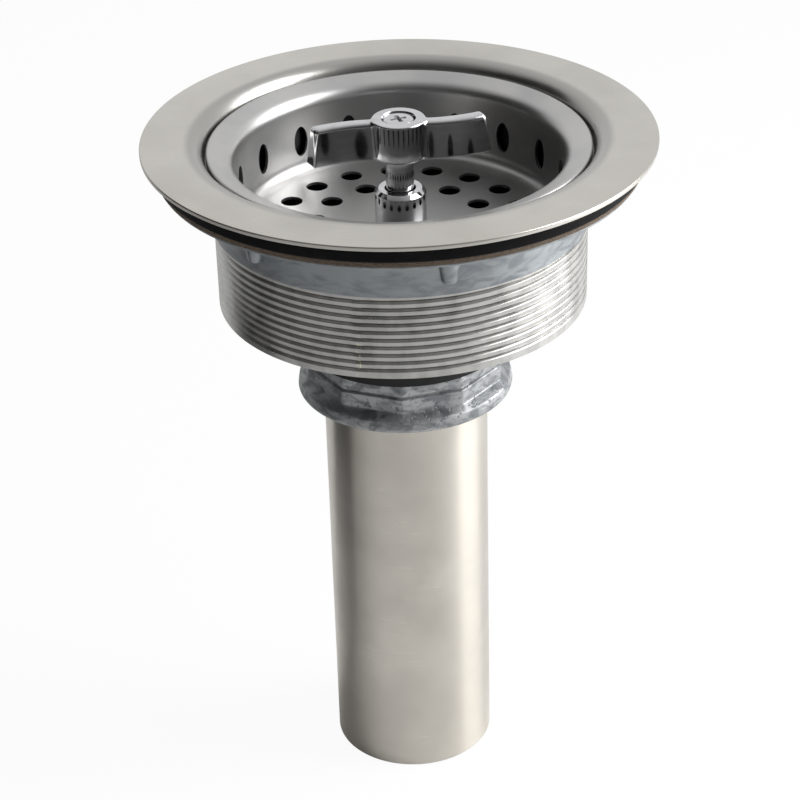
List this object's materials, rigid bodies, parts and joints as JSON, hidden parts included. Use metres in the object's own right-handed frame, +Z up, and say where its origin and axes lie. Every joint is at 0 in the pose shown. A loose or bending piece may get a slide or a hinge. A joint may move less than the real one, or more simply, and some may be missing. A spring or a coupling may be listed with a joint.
{
  "type": "basket strainer waste",
  "caption": "Kitchen sink basket strainer waste: steel flange and bowl in a threaded cast shell, with a lift-out slotted basket, wing handle, screw-down stopper and straight tailpiece.",
  "frame": {"origin": "centre of the flange's underside, where the flange lies on the sink", "axes": "+Z up along the drain's axis, -Y towards the viewer of the picture, +X to the right"},
  "size_m": [0.1142, 0.1142, 0.1647],
  "materials": {
    "flange_steel": "satin, fine concentric polish",
    "tube_steel": "satin, polished round the tube",
    "basket_steel": "bright satin",
    "inner_steel": "plain mill finish",
    "gasket_rubber": "matte",
    "stopper_rubber": "matte",
    "fibre": "pressed fibre, matte",
    "cast_zinc": "raw zinc die casting with machined thread",
    "nut_zinc": "raw zinc die casting, pitted",
    "chrome": "polished"
  },
  "bodies": {
    "waste": {"strainer_bowl": "flange_steel", "sink_gasket": "gasket_rubber", "friction_ring": "fibre", "clamp_shell": "cast_zinc", "coupling_nut": "nut_zinc", "tailpiece_washer": "gasket_rubber", "tailpiece": "tube_steel", "basket_cup": "basket_steel", "spindle_bush": "chrome", "bush_washer": "inner_steel", "bush_nut": "inner_steel"},
    "stopper": {"stopper_plate": "inner_steel", "stopper": "stopper_rubber"},
    "spindle": {"spindle": "chrome", "handle": "chrome", "handle_screw": "chrome", "stopper_washer": "inner_steel", "stopper_nut": "inner_steel"}
  },
  "joints": [
    {"name": "stopper_travel", "type": "slide", "parent": "waste", "child": "stopper", "axis": [0, 0, 1], "range_m": [-0.0068, 0]},
    {"name": "handle_turn", "type": "hinge", "parent": "stopper", "child": "spindle", "pos_m": [0, 0, 0], "axis": [0, 0, 1], "range_deg": [-720, 0]}
  ],
  "couplings": [
    {"joint": "handle_turn", "follows": "stopper_travel", "rad_per_m": 1848}
  ]
}
